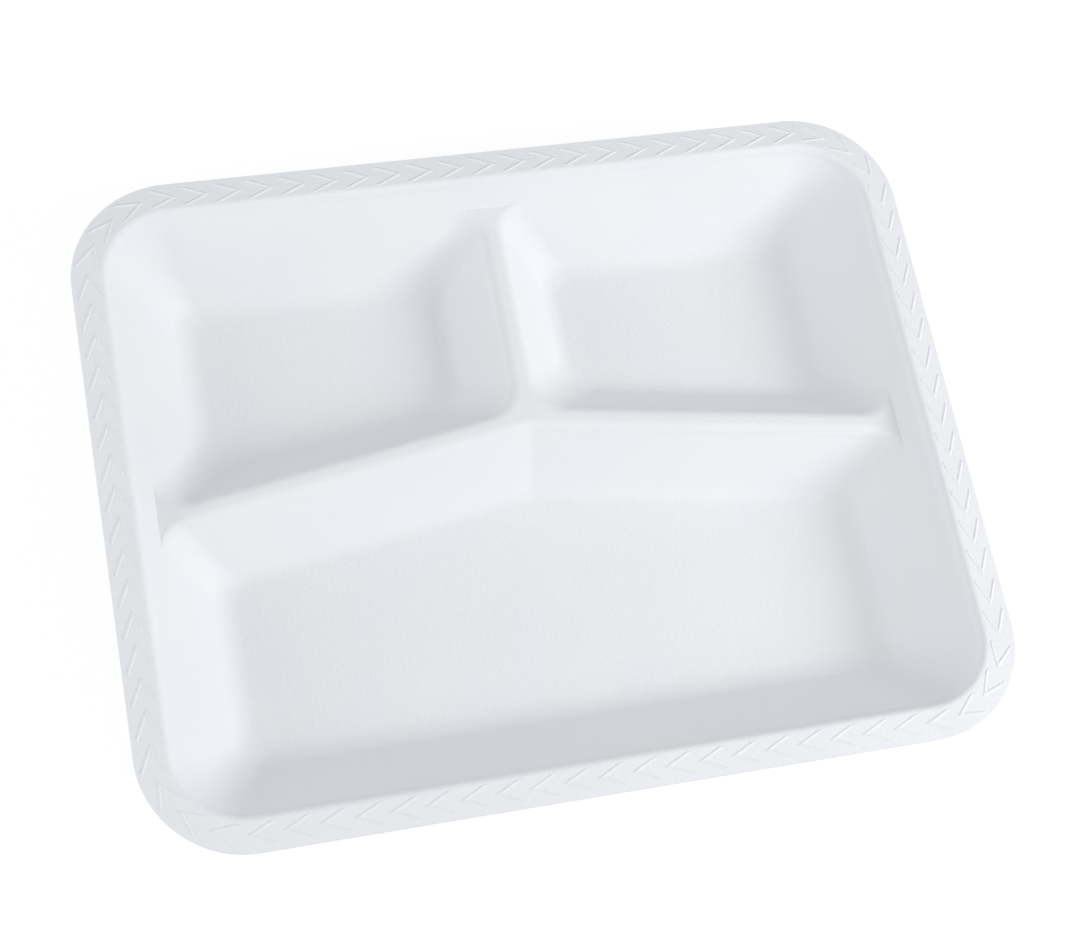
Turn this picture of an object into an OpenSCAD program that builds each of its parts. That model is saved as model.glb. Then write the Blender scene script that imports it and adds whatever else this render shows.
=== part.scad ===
// Three-compartment foam tray, moulded in one piece from a single sheet.
// X runs along the long side, Y across to the two small compartments, Z up.
// The origin is on the table under the middle of the tray.

/* [Tray] */
// overall length over the rim
tray_l = 260; // [230:1:300]
// overall width over the rim
tray_w = 206; // [190:1:240]
// overall height, table to crest of the rim
tray_h = 31; // [26:1:34]
// radius of the tray's corners in plan, at the outer edge
corner_r = 31; // [29:0.5:34]
// thickness of the moulded foam sheet
sheet = 2.5; // [2:0.25:3]
// lean of every wall away from upright, degrees
draft = 38; // [34:1:40]

/* [Compartments] */
// height of the divider tops below the crest of the rim
divider_drop = 6.8; // [5:0.2:9]
// width of the divider tops if the walls ran straight up to them
divider_top = 5.6; // [5:0.2:8]
// where the long divider meets the end walls, from the middle of the tray
divider_end_y = -1.5; // [-8:0.5:6]
// how far the long divider has risen towards the far side at its middle
divider_bow = 18; // [10:1:22]
// how far down the steeper shoulders of the dividers reach
shoulder_drop = 3.4; // [3.4:0.2:4.4]
// lean of the shoulders away from upright, degrees
shoulder_lean = 20; // [16:1:24]
// radius in section along the divider edges
divider_round = 4.4; // [2:0.2:4.4]
// radius of the compartments' corners against the dividers, in plan
divider_corner_r = 8; // [7:0.5:10]
// radius in plan of the corners where the cross divider joins the long one
junction_corner_r = 12; // [8:0.5:13]
// radius of the other floor corners in plan
floor_corner_r = 6; // [5:0.5:8]
// radius in section between floors and outer walls
floor_fillet = 9; // [5:0.5:10]
// radius in section between floors and dividers
divider_fillet = 5; // [3:0.5:6]

/* [Rim] */
// width of the rim, from the top of the wall to the outer edge
lip_w = 10.2; // [9.4:0.2:14]
// how far the rim falls from its crest to the outer edge
lip_drop = 2.8; // [1:0.2:4]
// radius in section over the crest
crest_round = 3; // [2:0.2:4]

/* [Chevrons] */
// spacing wanted along the rim, evened out to fit each side
chevron_pitch = 9.75; // [9:0.25:14]
// length of one chevron along the rim
chevron_len = 7.8; // [5:0.2:8]
// width of one chevron across the flange
chevron_w = 6.8; // [5:0.2:7]
// width of the raised stroke
stroke_w = 1; // [0.8:0.1:1.4]
// height of the raised stroke above the flange
stroke_h = 0.4; // [0.3:0.05:0.6]
// distance of the chevron tips from the outer edge of the rim
chevron_inset = 4.9; // [4.4:0.1:5.2]

/* [Hidden] */
$fn = 48;
fillet_steps = 4;            // flat steps that stand for one rounded edge
past = 1;                    // how far a cutting form runs past what it cuts
tuck = 0.04;                 // how far one form's edge is tucked in under the next one's
seat = 0.6;                  // how deep a chevron is sunk into the flange

lean = tan(draft);           // sideways travel of a wall for each mm of height
skin_x = sheet / cos(draft); // the sheet's thickness measured level through a wall
deck_z = tray_h - divider_drop;

// from the divider tops up, the rounded corners are concentric cones
brim_r = corner_r - lip_w;
function wall_r(z) = brim_r - (tray_h - z) * lean;
deck_r = wall_r(deck_z);

// the flange starts where the rounding over the crest has turned from wall to flange
lip_slope = atan(lip_drop / lip_w);
skin_z = sheet / cos(lip_slope);
flange_r = brim_r + crest_round * (tan((90 - draft) / 2) + tan(lip_slope / 2));
function flange_z(r) = tray_h - (r - flange_r) * tan(lip_slope);

centre_x = tray_l / 2 - corner_r;
centre_y = tray_w / 2 - corner_r;
rim_centres = [
    [-centre_x, centre_y],
    [centre_x, centre_y],
    [centre_x, -centre_y],
    [-centre_x, -centre_y]
];

// inside of the outer walls, at the height of the divider tops
deck_x = centre_x + deck_r;
deck_y = centre_y + deck_r;

// the long divider rises to a point at its middle, where the cross divider starts
half_top = divider_top / 2;
bow_angle = atan(divider_bow / deck_x);
function divider_y(x) = divider_end_y + divider_bow - abs(x) * tan(bow_angle);

// How far a wall has moved inwards at height z, counted from where it would reach
// the divider tops: straight at first, then a fillet of radius r into the floor at z = base.
fillet_turn = 90 - draft;
function straight_in(z) = (deck_z - z) * lean;
function fillet_in(z, base, r) =
    z >= base + r * (1 - cos(fillet_turn))
    ? straight_in(z)
    : straight_in(base) + r * tan(fillet_turn / 2) - sqrt(r * r - pow(r - z + base, 2));

// the dividers are steeper over their shoulders
shoulder_z = deck_z - shoulder_drop;
function divider_in(z) =
    z > shoulder_z
    ? straight_in(shoulder_z) - (z - shoulder_z) * tan(shoulder_lean)
    : fillet_in(z, sheet, divider_fillet);

// corner radii in plan at height z, against the outer walls and against the dividers
function outer_r(z) =
    z > shoulder_z
    ? wall_r(z)
    : wall_r(shoulder_z)
        + (shoulder_z - z) / (shoulder_z - sheet) * (floor_corner_r - wall_r(shoulder_z));
function inner_r(z) = divider_corner_r - (deck_z - z) / 12;

// points of the arc of radius r that rounds the corner b on the way from a to c
function heading(p, q) = atan2(q[1] - p[1], q[0] - p[0]);
function rounded(a, b, c, r) =
    let (
        h = heading(a, b),
        t = heading(b, c) - h,
        start = b - r * tan(abs(t) / 2) * [cos(h), sin(h)],
        centre = start + sign(t) * r * [-sin(h), cos(h)]
    )
    [for (i = [0 : fillet_steps])
        let (g = h + t * i / fillet_steps)
        centre + sign(t) * r * [sin(g), -cos(g)]];

// a solid with straight sides between corners that are all turned from one
// section, whose points are [distance out from the corner centre, height]
module cornered(centres, section) {
    hull()
        for (c = centres)
            translate([c[0], c[1], 0])
                rotate_extrude() polygon(section);
}

// The outline of a compartment at height z, as corners [x, y, radius, heading into the
// corner, heading out of it]. Its outer walls have moved inwards by o and its dividers
// by d, and every corner is widened by more.
function main_outline(o, d, z, more = 0) =
    let (
        ro = outer_r(z) + more,
        ri = inner_r(z) + more,
        x = deck_x - o - ri,
        side = (half_top + d + ri) / cos(bow_angle)
    )
    [
        [deck_x - o - ro, o + ro - deck_y, ro, 0, 90],
        [x, divider_y(x) - side, ri, 90, 180 - bow_angle],
        [0, divider_y(0) - side, ri, 180 - bow_angle, 180 + bow_angle],
        [-x, divider_y(x) - side, ri, 180 + bow_angle, 270],
        [o + ro - deck_x, o + ro - deck_y, ro, 270, 360]
    ];
function small_outline(o, d, z, more = 0) =
    let (
        ro = outer_r(z) + more,
        ri = inner_r(z) + more,
        rj = ri + junction_corner_r - divider_corner_r,
        near = half_top + d + rj,
        far = deck_x - o - ri
    )
    [
        [far, divider_y(far) + (half_top + d + ri) / cos(bow_angle), ri, -bow_angle, 90],
        [deck_x - o - ro, deck_y - o - ro, ro, 90, 180],
        [half_top + d + ri, deck_y - o - ri, ri, 180, 270],
        [near, divider_y(near) + near / cos(bow_angle), rj, 270, 360 - bow_angle]
    ];

// the points of such an outline, anticlockwise
function ring(outline, z) =
    [for (corner = outline)
        let (turn = corner[4] - corner[3], steps = ceil(turn * $fn / 360))
        for (i = [0 : steps])
            let (g = corner[3] + turn * i / steps)
            [corner[0] + corner[2] * sin(g), corner[1] - corner[2] * cos(g), z]];

// a solid whose skin runs through one ring of points after another, lowest first
module lofted(rings) {
    n = len(rings[0]);
    top = n * (len(rings) - 1);
    polyhedron(
        points = [for (ring = rings, point = ring) point],
        faces = concat(
            [[for (i = [0 : n - 1]) i]],
            [for (low = [0 : n : top - n], i = [0 : n - 1], half = [0, 1])
                let (next = (i + 1) % n)
                half == 0
                ? [low + i, low + n + i, low + n + next]
                : [low + i, low + n + next, low + next]],
            [[for (i = [n - 1 : -1 : 0]) top + i]]
        )
    );
}

// one ring of the main or a small compartment
function level(main, o, d, z, more = 0) =
    ring(main ? main_outline(o, d, z, more) : small_outline(o, d, z, more), z);

// the heights at which the rounded foot of a wall is drawn, from a floor at z = base
function foot_heights(base, r) =
    [for (i = [0 : fillet_steps]) base + r * (1 - cos(fillet_turn * i / fillet_steps))];

// the space inside a compartment: rounded foot, straight walls, steeper shoulders and
// an upper edge that is rounded over onto the dividers
module compartment_space(main) {
    shoulder = [divider_in(shoulder_z), shoulder_z];
    arc = rounded(shoulder, [divider_in(deck_z), deck_z], [-10, deck_z], divider_round);
    last = 2 * arc[fillet_steps] - arc[fillet_steps - 1];
    lofted(concat(
        [for (z = concat(foot_heights(sheet, floor_fillet), [shoulder_z]))
            level(main, fillet_in(z, sheet, floor_fillet), divider_in(z), z)],
        [for (i = [0 : fillet_steps - 1])
            let (d = arc[i][0], z = arc[i][1])
            level(main, straight_in(z), d, z)],
        [level(main, tuck, last[0], last[1])]
    ));
}

// the outside of a compartment, one sheet thickness away from its space, with a plug
// on top that is buried in the level sheet between the compartments
module compartment_shell(main) {
    r = floor_fillet + sheet;
    lofted(concat(
        [for (z = concat(foot_heights(0, r), [shoulder_z, deck_z - 0.8 * sheet]))
            level(
                main,
                fillet_in(z, 0, r) - skin_x,
                fillet_in(z, 0, divider_fillet + sheet) - skin_x,
                z, skin_x
            )],
        [level(main, past - skin_x, past - skin_x, deck_z - 0.4 * sheet, skin_x - past)]
    ));
}

module both_sides() {
    children();
    mirror([1, 0, 0]) children();
}

// the top of the rim as a filled dome: plain cut edge, sloping flange, rounded crest
module rim_dome() {
    edge = [corner_r, flange_z(corner_r)];
    cornered(rim_centres, concat(
        [[0, edge[1] - skin_z], edge - [0, skin_z]],
        [edge],
        rounded(edge, [flange_r, tray_h], [0, tray_h], crest_round),
        [[0, tray_h]]
    ));
}

// the open space below the flange
module below_flange() {
    outer = corner_r + past;
    cornered(rim_centres, [
        [0, deck_z - sheet],
        [outer, deck_z - sheet],
        [outer, flange_z(outer) - skin_z],
        [flange_r, tray_h - skin_z],
        [0, tray_h - skin_z]
    ]);
}

// the wall between the dividers' tops and the rim, still filled inside
module upper_wall() {
    low = deck_z - sheet;
    high = tray_h - skin_z / 2;
    cornered(rim_centres, [
        [0, low],
        [wall_r(low) + skin_x - tuck, low],
        [wall_r(high) + skin_x, high],
        [0, high]
    ]);
}

// the space inside the rim, down to the tops of the dividers, with its brim rounded by
// one long flare along each step of the rounding
module rim_space() {
    foot = [deck_r, deck_z];
    above = [wall_r(tray_h + past), tray_h + past];
    brim = [brim_r, tray_h];
    cornered(rim_centres, [[0, deck_z], foot - [tuck, 0], above, [0, above[1]]]);
    arc = rounded(foot, brim, brim + [10, 0], crest_round);
    for (i = [0 : len(arc) - 2]) {
        along = (arc[i + 1] - arc[i]) / norm(arc[i + 1] - arc[i]);
        end = arc[i + 1] + along * past;
        start = arc[i] - along * 2 * past;
        cornered(rim_centres, [[0, start[1]], start, end, [0, end[1]]]);
    }
}

module moulding() {
    difference() {
        union() {
            difference() {
                rim_dome();
                below_flange();
            }
            upper_wall();
            compartment_shell(true);
            both_sides() compartment_shell(false);
        }
        rim_space();
        compartment_space(true);
        both_sides() compartment_space(false);
    }
}

// one raised chevron, its tip at the origin and pointing along +X
module chevron() {
    half = chevron_w / 2;
    notch = stroke_w * norm([chevron_len, half]) / half;
    tail = half * (1 - notch / chevron_len);
    linear_extrude(seat + stroke_h)
        polygon([
            [0, 0], [-chevron_len, half], [-chevron_len, tail],
            [-notch, 0],
            [-chevron_len, -tail], [-chevron_len, -half]
        ]);
}

// lays a chevron on the flange, at distance r out from the line of corner centres
module on_flange(r) {
    translate([0, r, flange_z(r)])
        rotate([-lip_slope, 0, 0])
            translate([chevron_len / 3, 0, -seat])
                chevron();
}

// chevrons follow one another clockwise, along each side and then round its corner
module chevrons() {
    path_r = corner_r - chevron_inset;
    per_corner = floor(path_r * PI / 2 / chevron_pitch);
    for (i = [0 : 3]) {
        from = rim_centres[i];
        to = rim_centres[(i + 1) % 4];
        side = norm(to - from);
        per_side = round(side / chevron_pitch);
        translate([from[0], from[1], 0])
            rotate([0, 0, heading(from, to)]) {
                for (k = [0 : per_side])
                    translate([k * side / per_side, 0, 0])
                        on_flange(path_r);
                for (k = [1 : per_corner - 1])
                    translate([side, 0, 0])
                        rotate([0, 0, -90 * k / per_corner])
                            on_flange(path_r);
            }
    }
}

module tray() {
    color("#F2F4F5")
        union() {
            moulding();
            chevrons();
        }
}

tray();
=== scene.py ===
# Foam tray with three compartments. X runs along its long side, Y across to the two
# small compartments and Z up. All lengths are in metres.
import math

import bmesh
import bpy
from mathutils import Matrix, Vector


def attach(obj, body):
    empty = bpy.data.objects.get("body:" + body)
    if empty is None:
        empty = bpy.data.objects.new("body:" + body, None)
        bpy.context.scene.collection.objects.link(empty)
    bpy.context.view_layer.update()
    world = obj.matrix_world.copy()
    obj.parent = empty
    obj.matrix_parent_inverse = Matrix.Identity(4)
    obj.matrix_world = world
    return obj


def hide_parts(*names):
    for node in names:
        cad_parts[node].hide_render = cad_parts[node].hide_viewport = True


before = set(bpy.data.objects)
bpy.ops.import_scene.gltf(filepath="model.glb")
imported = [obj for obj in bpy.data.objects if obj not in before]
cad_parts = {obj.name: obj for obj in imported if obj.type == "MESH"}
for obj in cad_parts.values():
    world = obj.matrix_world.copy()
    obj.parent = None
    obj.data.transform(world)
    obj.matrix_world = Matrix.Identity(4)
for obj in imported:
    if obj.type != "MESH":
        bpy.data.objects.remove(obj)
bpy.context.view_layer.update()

# ---------------------------------------------------------------- The tray's sheet
# One thin sheet of expanded foam, softened by heat and drawn over a mould, so that the
# rim, the walls, the dividers and the floors are all the same skin. It is laid here as
# rows of points that run round each form, from the cut edge of the rim to the floors.
half_length, half_width = 0.130, 0.103
edge_height, crest_height, deck_height, floor_height = 0.0299, 0.0310, 0.0224, 0.0025
sheet_thickness = 0.0025
draft = math.radians(38)  # lean of every wall away from upright
lean = math.tan(draft)
wall_turn = math.radians(90) - draft  # from level round to the slope of a wall

# how finely the sheet is laid: steps round its arcs and down its walls
corner_steps, round_steps, ease_steps, wall_steps, foot_steps = 24, 8, 4, 4, 12
same_place = 0.00002  # points nearer than this are one point
on_line = 0.000001


def outline(corners, height):
    """Points round an outline, anticlockwise. A corner is (x, y, radius, steps)."""
    points = []
    for i, (x, y, radius, steps) in enumerate(corners):
        here = Vector((x, y))
        into = (here - Vector(corners[i - 1][:2])).normalized()
        out = (Vector(corners[(i + 1) % len(corners)][:2]) - here).normalized()
        turn = math.atan2(into.cross(out), into.dot(out))
        start = here - into * radius * math.tan(turn / 2)
        for k in range(steps + 1):
            a = turn * k / max(steps, 1)
            side = Vector((-into.y, into.x)) * (1 - math.cos(a)) + into * math.sin(a)
            at = start + side * radius
            points.append(Vector((at.x, at.y, height)))
    return points


def draw_sheet(name, rows):
    """Lays a sheet over rows of points: each row is a ring, bridged to the one before."""
    bpy.ops.object.select_all(action="DESELECT")
    count = len(rows[0])
    for number, row in enumerate(rows):
        bpy.ops.mesh.primitive_circle_add(vertices=count)
        if number == 0:
            sheet = bpy.context.object
            sheet.name = sheet.data.name = name
            bpy.ops.object.mode_set(mode="EDIT")
        rings = bmesh.from_edit_mesh(sheet.data)
        rings.verts.ensure_lookup_table()
        for i, point in enumerate(row):
            rings.verts[number * count + i].co = point
        if number:
            first = (number - 1) * count
            for edge in rings.edges:
                edge.select_set(all(v.index >= first for v in edge.verts))
            bmesh.update_edit_mesh(sheet.data)
            bpy.ops.mesh.bridge_edge_loops()
    bpy.ops.object.mode_set(mode="OBJECT")
    return sheet


# the rim, from the cut edge over the crest and down the wall to the dividers' height
brim, crest_round, edge_corner = 0.0090, 0.0020, 0.0310
flange_row = 0.0035  # where one more row of points lies on the flange
flange_slope = math.atan((crest_height - edge_height) / brim)
brow_drop, brow_lean = 0.0030, math.radians(26)  # the wall is steeper under the crest
brow_turn = math.radians(90) - brow_lean
brow_in = brow_drop * (lean - math.tan(brow_lean))
crest_middle = brim + brow_in - crest_round * math.tan(brow_turn / 2)
deck_in = brim + (crest_height - deck_height) * lean
wall_x, wall_y = half_length - deck_in, half_width - deck_in
deck_corner = edge_corner - deck_in

# the dividers: steeper at their shoulders than the walls below, and rounded over
divider_half, divider_middle = 0.0020, 0.0162
bow = math.radians(8.935)  # turn of each half of the long divider away from X
bow_corner, bow_steps = 0.005, 4  # at its middle, on the side of the large compartment
shoulder_drop, shoulder_lean = 0.0030, math.radians(28)
shoulder_turn = math.radians(90) - shoulder_lean
shoulder_in = shoulder_drop * (lean - math.tan(shoulder_lean))
divider_round, divider_corner, junction_corner = 0.0036, 0.0092, 0.0120
corner_taper = 12  # depth for each unit that a divider's corner loses in radius
outer_fillet, divider_fillet, floor_corner = 0.0095, 0.0070, 0.0060
ease_round = 0.0040  # where a steeper top goes over into the slope of the wall


def wall_in(height):
    """How far in a wall has come at a height, from its place at the dividers' top."""
    return (deck_height - height) * lean


def foot_in(height, fillet):
    """The same near the floor, where a fillet rounds the wall over."""
    if height >= floor_height + fillet * (1 - math.cos(wall_turn)):
        return wall_in(height)
    rise = fillet - (height - floor_height)
    flat = wall_in(floor_height) + fillet * math.tan(wall_turn / 2)
    return flat - math.sqrt(max(fillet * fillet - rise * rise, 0))


def eased(steep_turn, inward, height):
    """Arc from a steeper top into the wall, round where they would meet: (in, height)."""
    between = (steep_turn - wall_turn) / 2
    middle = steep_turn - between
    points = []
    for k in range(ease_steps + 1):
        a = steep_turn - 2 * between * k / ease_steps
        across = ease_round * (math.sin(middle) / math.cos(between) - math.sin(a))
        rise = ease_round * (math.cos(middle) / math.cos(between) - math.cos(a))
        points.append((inward + across, height + rise))
    return points


def outer_radius(height):
    """Radius in plan of a corner between two outer walls."""
    low = deck_height - sheet_thickness
    if height > low:
        return deck_corner - wall_in(height)
    share = (low - height) / (low - floor_height)
    low_radius = deck_corner - wall_in(low)
    return low_radius + (floor_corner - low_radius) * share


def wide_and_tight(height):
    """A corner between two outer walls and one at a divider's end, as (radius, steps)."""
    tight_radius = divider_corner - (deck_height - height) / corner_taper
    return (outer_radius(height), corner_steps), (tight_radius, corner_steps)


def divider_line(x, off):
    """Y of the long divider's side at x, at a distance off its middle line."""
    return divider_middle - abs(x) * math.tan(bow) + off / math.cos(bow)


def main_corners(outer, inner, height):
    """Corners of the large compartment, so far in at its outer walls and its divider."""
    x, y, off = wall_x - outer, wall_y - outer, -divider_half - inner
    wide, tight = wide_and_tight(height)
    return [
        (-x, -y, *wide),
        (x, -y, *wide),
        (x, divider_line(x, off), *tight),
        (0, divider_line(0, off), bow_corner, bow_steps),
        (-x, divider_line(x, off), *tight),
    ]


def right_corners(outer, inner, height):
    """Corners of the small compartment on the right."""
    x, y, near = wall_x - outer, wall_y - outer, divider_half + inner
    wide, tight = wide_and_tight(height)
    return [
        (near, divider_line(near, near), junction_corner, corner_steps),
        (x, divider_line(x, near), *tight),
        (x, y, *wide),
        (near, y, *tight),
    ]


def left_corners(outer, inner, height):
    """Corners of the small compartment on the left, which mirrors the right one."""
    mirrored = [(-x, y, *rest) for x, y, *rest in right_corners(outer, inner, height)]
    return mirrored[::-1]


# the section of a compartment, as (in at the outer walls, in at the dividers, height)
section = []
flat = shoulder_in - divider_round * math.tan(shoulder_turn / 2)
for k in range(round_steps + 1):
    a = shoulder_turn * k / round_steps
    height = deck_height - divider_round * (1 - math.cos(a))
    section.append((wall_in(height), flat + divider_round * math.sin(a), height))
shoulder_foot = deck_height - shoulder_drop
for inward, height in eased(shoulder_turn, wall_in(shoulder_foot), shoulder_foot):
    section.append((wall_in(height), inward, height))
top, bottom = height, floor_height + outer_fillet * (1 - math.cos(wall_turn))
for k in range(1, wall_steps):
    height = top + (bottom - top) * k / wall_steps
    section.append((wall_in(height), wall_in(height), height))
for k in range(foot_steps + 1):
    a = wall_turn * (1 - k / foot_steps)
    height = floor_height + outer_fillet * (1 - math.cos(a))
    at_walls, at_dividers = foot_in(height, outer_fillet), foot_in(height, divider_fillet)
    section.append((at_walls, at_dividers, height))

main_rows, right_rows, left_rows = (
    [outline(corners(outer, inner, height), height) for outer, inner, height in section]
    for corners in (main_corners, right_corners, left_corners)
)
main = draw_sheet("main_sheet", main_rows)
right = draw_sheet("right_sheet", right_rows)
left = draw_sheet("left_sheet", left_rows)

# the dividers' tops run out to points where the compartments' corners meet the walls
main_point = max(p.y for p in main_rows[0] if abs(p.x - wall_x) < on_line)
small_point = min(p.y for p in right_rows[0] if abs(p.x - wall_x) < on_line)
cross_point = min(p.x for p in right_rows[0] if abs(p.y - wall_y) < on_line)


def rim_corners(inward):
    """Corners of the rim, so far in from the cut edge, and the points of the dividers."""
    x, y = half_length - inward, half_width - inward
    wide, none = (edge_corner - inward, corner_steps), (0, 0)
    return [
        (-x, -y, *wide),
        (x, -y, *wide),
        (x, main_point, *none),
        (x, small_point, *none),
        (x, y, *wide),
        (cross_point, y, *none),
        (-cross_point, y, *none),
        (-x, y, *wide),
        (-x, small_point, *none),
        (-x, main_point, *none),
    ]


# the section of the rim, as (in from the cut edge, height)
rim_section = [(x, edge_height + x * math.tan(flange_slope)) for x in (0, flange_row)]
for k in range(round_steps + 1):
    a = -flange_slope + (flange_slope + brow_turn) * k / round_steps
    height = crest_height - crest_round * (1 - math.cos(a))
    rim_section.append((crest_middle + crest_round * math.sin(a), height))
rim_section += eased(brow_turn, brim + brow_drop * lean, crest_height - brow_drop)
inward, height = rim_section[-1]
rim_section.append(((inward + deck_in) / 2, (height + deck_height) / 2))
rim_section.append((deck_in, deck_height))
tray = draw_sheet(
    "tray_sheet", [outline(rim_corners(inward), height) for inward, height in rim_section]
)

# the four sheets become one, and faces close the dividers' tops and the floors
for piece in (tray, main, right, left):
    piece.select_set(True)
bpy.context.view_layer.objects.active = tray
bpy.ops.object.join()
bpy.ops.object.mode_set(mode="EDIT")
bpy.ops.mesh.select_all(action="SELECT")
bpy.ops.mesh.remove_doubles(threshold=same_place)
bpy.context.tool_settings.mesh_select_mode = (False, True, False)
for height in (deck_height, floor_height):
    bpy.ops.mesh.select_all(action="DESELECT")
    skin = bmesh.from_edit_mesh(tray.data)
    for edge in skin.edges:
        level = all(abs(v.co.z - height) < same_place for v in edge.verts)
        edge.select_set(edge.is_boundary and level)
    bmesh.update_edit_mesh(tray.data)
    bpy.ops.mesh.edge_face_add()

# the upper skin faces up, and the sheet's thickness goes downwards from it
bpy.ops.mesh.select_all(action="SELECT")
bpy.ops.mesh.normals_make_consistent(inside=False)
skin = bmesh.from_edit_mesh(tray.data)
if sum(f.normal.z * f.calc_area() for f in skin.faces) < 0:
    bpy.ops.mesh.flip_normals()
bpy.ops.object.mode_set(mode="OBJECT")
bpy.ops.object.modifier_add(type="SOLIDIFY")
solid = tray.modifiers[-1]
solid.thickness = sheet_thickness
solid.offset = -1
solid.use_even_offset = True
bpy.ops.object.modifier_apply(modifier=solid.name)

# ---------------------------------------------------------------- Chevrons
# A row of raised chevrons is pressed into the flange all round. Each is one soft ridge
# bent to a point, and they follow one another clockwise.
chevron_pitch, chevron_length, chevron_width = 0.00975, 0.0074, 0.0070
ridge_width, ridge_height, ridge_sunk = 0.0018, 0.00042, 0.0001
ridge_end = 0.88  # share of an arm's length past which the ridge narrows to its end
blunt_end = 0.15  # share of the ridge's width that is left at the end
point_in = 0.0050  # from the cut edge of the rim to the line of the chevrons' points
point_ahead = chevron_length / 3  # from a chevron's place on that line to its point
corner_x, corner_y = half_length - edge_corner, half_width - edge_corner


def flange_height(x, y):
    """Height of the flange's surface, level as far as the top of the crest."""
    out_x, out_y = abs(x) - corner_x, abs(y) - corner_y
    out = math.hypot(out_x, out_y) if min(out_x, out_y) > 0 else max(out_x, out_y)
    inward = edge_corner - out
    if inward < crest_middle - crest_round * math.sin(flange_slope):
        return edge_height + inward * math.tan(flange_slope)
    turn = min(inward - crest_middle, 0) / crest_round
    return crest_height - crest_round * (1 - math.sqrt(1 - turn * turn))


bpy.ops.object.select_all(action="DESELECT")
bpy.ops.mesh.primitive_grid_add(x_subdivisions=16, y_subdivisions=8, size=2)
first = bpy.context.object
first.name = "chevron"
arm = math.hypot(chevron_length, chevron_width / 2)
reach = ridge_width / 2 * arm / (chevron_width / 2)
for v in first.data.vertices:
    along, across = v.co.x, v.co.y
    end = max(0, (abs(along) - ridge_end) / (1 - ridge_end))
    taper = math.sqrt(max(0, 1 - end * end))
    v.co = (
        across * reach * max(taper, blunt_end) - abs(along) * chevron_length,
        along * chevron_width / 2,
        ridge_height * taper * math.cos(across * math.pi / 2) ** 2 - ridge_sunk,
    )
bpy.ops.object.mode_set(mode="EDIT")
bpy.ops.mesh.select_all(action="SELECT")
bpy.ops.mesh.region_to_loop()
bpy.ops.mesh.edge_face_add()
bpy.ops.mesh.select_all(action="SELECT")
bpy.ops.mesh.normals_make_consistent(inside=False)
bpy.ops.object.mode_set(mode="OBJECT")

# along each side of the rim, and round the corner at its end
places = []
path = edge_corner - point_in
for turned, (x, y), side in (
    (0, (-corner_x, corner_y), 2 * corner_x),
    (-90, (corner_x, corner_y), 2 * corner_y),
    (180, (corner_x, -corner_y), 2 * corner_x),
    (90, (-corner_x, -corner_y), 2 * corner_y),
):
    along = round(side / chevron_pitch)
    round_corner = int(path * math.pi / 2 / chevron_pitch)
    turn = Matrix.Rotation(math.radians(turned), 4, "Z")
    start = Matrix.Translation((x, y, 0)) @ turn
    out = Matrix.Translation((point_ahead, path, 0))
    for k in range(along + 1):
        places.append(start @ Matrix.Translation((side * k / along, 0, 0)) @ out)
    for k in range(1, round_corner):
        bend = Matrix.Rotation(math.radians(-90 * k / round_corner), 4, "Z")
        places.append(start @ Matrix.Translation((side, 0, 0)) @ bend @ out)

chevrons = []
for place in places:
    bpy.ops.object.select_all(action="DESELECT")
    first.select_set(True)
    bpy.context.view_layer.objects.active = first
    bpy.ops.object.duplicate()
    chevron = bpy.context.object
    chevron.data.transform(place)
    for v in chevron.data.vertices:
        v.co.z += flange_height(v.co.x, v.co.y)
    chevrons.append(chevron)
bpy.data.objects.remove(first)

bpy.ops.object.select_all(action="DESELECT")
for chevron in chevrons:
    chevron.select_set(True)
tray.select_set(True)
bpy.context.view_layer.objects.active = tray
bpy.ops.object.join()
bpy.ops.object.shade_smooth_by_angle(angle=math.radians(32))
tray.modifiers.new("even_shading", "WEIGHTED_NORMAL").keep_sharp = True
bpy.ops.object.modifier_apply(modifier="even_shading")
tray.name = tray.data.name = "tray_foam"

# ---------------------------------------------------------------- Foam
# White expanded foam: fine closed cells that show as a grain on the level faces, drawn
# smooth on the walls, with a dull skin.
foam = bpy.data.materials.new("white_foam")
foam.use_nodes = True
nodes, links = foam.node_tree.nodes, foam.node_tree.links
skin_shader = nodes["Principled BSDF"]
skin_shader.inputs["Roughness"].default_value = 0.62
skin_shader.inputs["Specular IOR Level"].default_value = 0.35

# the cells and a noise, added up and then made weaker where the skin is steep
coords = nodes.new("ShaderNodeTexCoord")
cells = nodes.new("ShaderNodeTexVoronoi")
cells.inputs["Scale"].default_value = 1300
grain = nodes.new("ShaderNodeTexNoise")
grain.inputs["Scale"].default_value = 700
grain.inputs["Detail"].default_value = 4
mixed = nodes.new("ShaderNodeMath")
mixed.operation = "MULTIPLY_ADD"
mixed.inputs[1].default_value = 0.6  # how much the cells count beside the noise
facing = nodes.new("ShaderNodeSeparateXYZ")
levelness = nodes.new("ShaderNodeMapRange")
levelness.inputs["From Min"].default_value = 0.75
levelness.inputs["From Max"].default_value = 0.99
levelness.inputs["To Min"].default_value = 0.25
levelness.inputs["To Max"].default_value = 1.0
depth = nodes.new("ShaderNodeMath")
depth.operation = "MULTIPLY"
bump = nodes.new("ShaderNodeBump")
bump.inputs["Strength"].default_value = 0.35
bump.inputs["Distance"].default_value = 0.0003

# broad, very faint clouds in the white
clouds = nodes.new("ShaderNodeTexNoise")
clouds.inputs["Scale"].default_value = 28
clouds.inputs["Detail"].default_value = 2
tint = nodes.new("ShaderNodeValToRGB")
tint.color_ramp.elements[0].position = 0.35
tint.color_ramp.elements[0].color = (0.868, 0.882, 0.908, 1)
tint.color_ramp.elements[1].position = 0.65
tint.color_ramp.elements[1].color = (0.884, 0.894, 0.914, 1)

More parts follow.
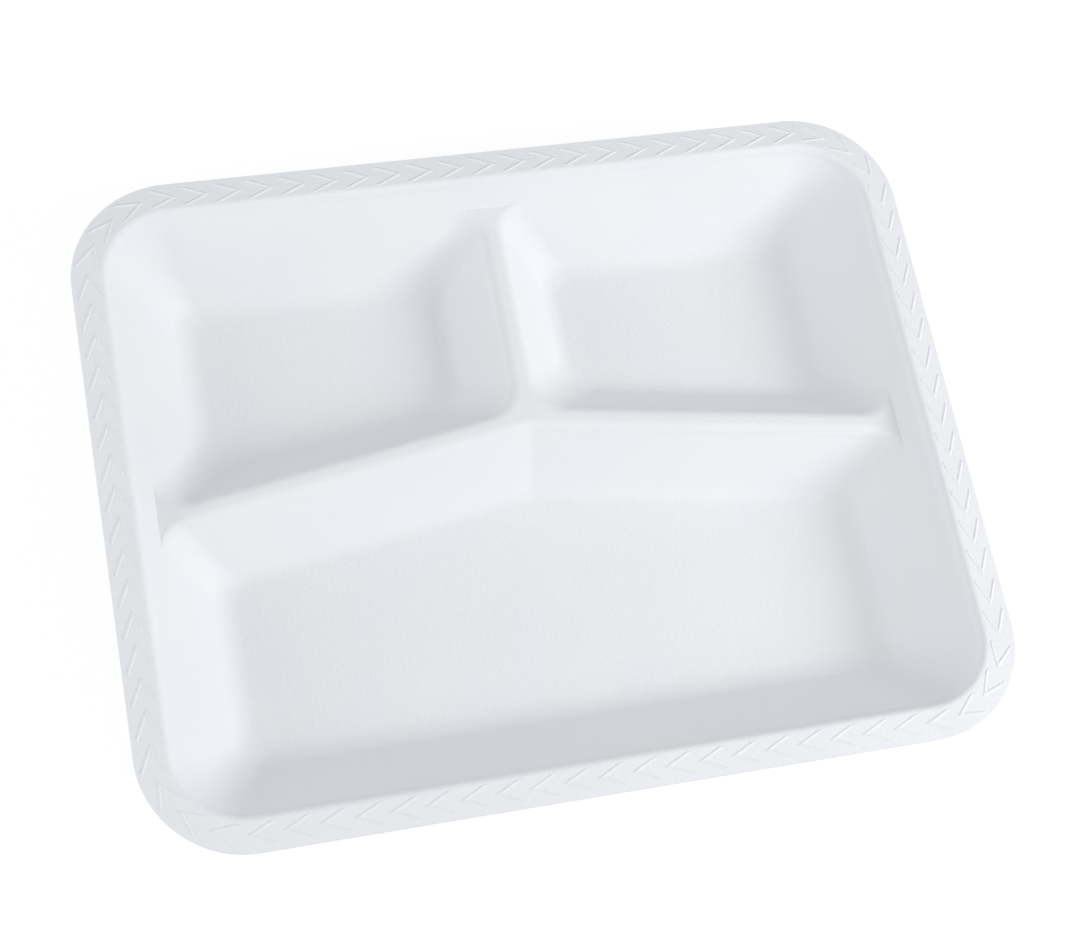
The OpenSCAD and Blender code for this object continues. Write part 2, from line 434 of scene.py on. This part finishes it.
for source, target in (
    (coords.outputs["Object"], cells.inputs["Vector"]),
    (coords.outputs["Object"], grain.inputs["Vector"]),
    (cells.outputs["Distance"], mixed.inputs[0]),
    (grain.outputs["Fac"], mixed.inputs[2]),
    (coords.outputs["Normal"], facing.inputs["Vector"]),
    (facing.outputs["Z"], levelness.inputs["Value"]),
    (mixed.outputs[0], depth.inputs[0]),
    (levelness.outputs["Result"], depth.inputs[1]),
    (depth.outputs[0], bump.inputs["Height"]),
    (bump.outputs["Normal"], skin_shader.inputs["Normal"]),
    (coords.outputs["Object"], clouds.inputs["Vector"]),
    (clouds.outputs["Fac"], tint.inputs["Fac"]),
    (tint.outputs["Color"], skin_shader.inputs["Base Color"]),
):
    links.new(source, target)
tray.data.materials.clear()
tray.data.materials.append(foam)

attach(tray, "root")
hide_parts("tray")

# ---------------------------------------------------------------- Table and light
# A plain white table, with a soft lamp at the front right, a weaker one at the left and
# even light from all round. To the camera, the table and what lies past it look white.
bpy.ops.object.select_all(action="DESELECT")
bpy.ops.mesh.primitive_plane_add(size=8, location=(0, 0, -0.0002))  # clear of the tray
table = bpy.context.object
table.name = "table"
white = bpy.data.materials.new("white_table")
white.use_nodes = True
nodes, links = white.node_tree.nodes, white.node_tree.links
table_shader = nodes["Principled BSDF"]
table_shader.inputs["Base Color"].default_value = (0.82, 0.825, 0.84, 1)
table_shader.inputs["Roughness"].default_value = 0.9
table_shader.inputs["Specular IOR Level"].default_value = 0
seen = nodes.new("ShaderNodeLightPath")
glow = nodes.new("ShaderNodeEmission")
glow.inputs["Strength"].default_value = 1.15
share = nodes.new("ShaderNodeMath")
share.operation = "MULTIPLY"
share.inputs[1].default_value = 0.75  # of the glow, in what the camera sees
blend = nodes.new("ShaderNodeMixShader")
links.new(seen.outputs["Is Camera Ray"], share.inputs[0])
links.new(share.outputs[0], blend.inputs["Fac"])
links.new(table_shader.outputs[0], blend.inputs[1])
links.new(glow.outputs[0], blend.inputs[2])
links.new(blend.outputs[0], nodes["Material Output"].inputs["Surface"])
table.data.materials.append(white)

world = bpy.data.worlds.new("studio")
bpy.context.scene.world = world
world.use_nodes = True
nodes, links = world.node_tree.nodes, world.node_tree.links
nodes["Background"].inputs["Color"].default_value = (0.965, 0.98, 1.0, 1)
nodes["Background"].inputs["Strength"].default_value = 0.58
seen = nodes.new("ShaderNodeLightPath")
backdrop = nodes.new("ShaderNodeBackground")
backdrop.inputs["Color"].default_value = (1, 1, 1, 1)
blend = nodes.new("ShaderNodeMixShader")
links.new(seen.outputs["Is Camera Ray"], blend.inputs["Fac"])
links.new(nodes["Background"].outputs[0], blend.inputs[1])
links.new(backdrop.outputs[0], blend.inputs[2])
links.new(blend.outputs[0], nodes["World Output"].inputs["Surface"])

for name, position, size, watts in (
    ("key", (0.74, -0.42, 0.59), 0.5, 5.0),
    ("fill", (-1.0, -0.10, 0.34), 0.8, 3.0),
):
    lamp_data = bpy.data.lights.new(name, "AREA")
    lamp_data.shape = "DISK"
    lamp_data.size = size
    lamp_data.energy = watts
    lamp_data.color = (1.0, 0.993, 0.982)
    lamp = bpy.data.objects.new(name, lamp_data)
    bpy.context.scene.collection.objects.link(lamp)
    lamp.location = position
    lamp.rotation_euler = (-lamp.location).to_track_quat("-Z", "Y").to_euler()

# ---------------------------------------------------------------- Camera
# Placed by fitting the tray's outline and the edges of its floors to the photograph.
camera_data = bpy.data.cameras.new("camera")
camera = bpy.data.objects.new("camera", camera_data)
bpy.context.scene.collection.objects.link(camera)
camera_data.lens = 68.27
camera_data.sensor_width = 36
camera.location = (-0.12185, -0.20215, 0.59976)
camera.rotation_euler = [math.radians(a) for a in (20.5187, -8.1501, -11.0551)]
bpy.context.scene.camera = camera
bpy.context.scene.view_settings.view_transform = "Standard"
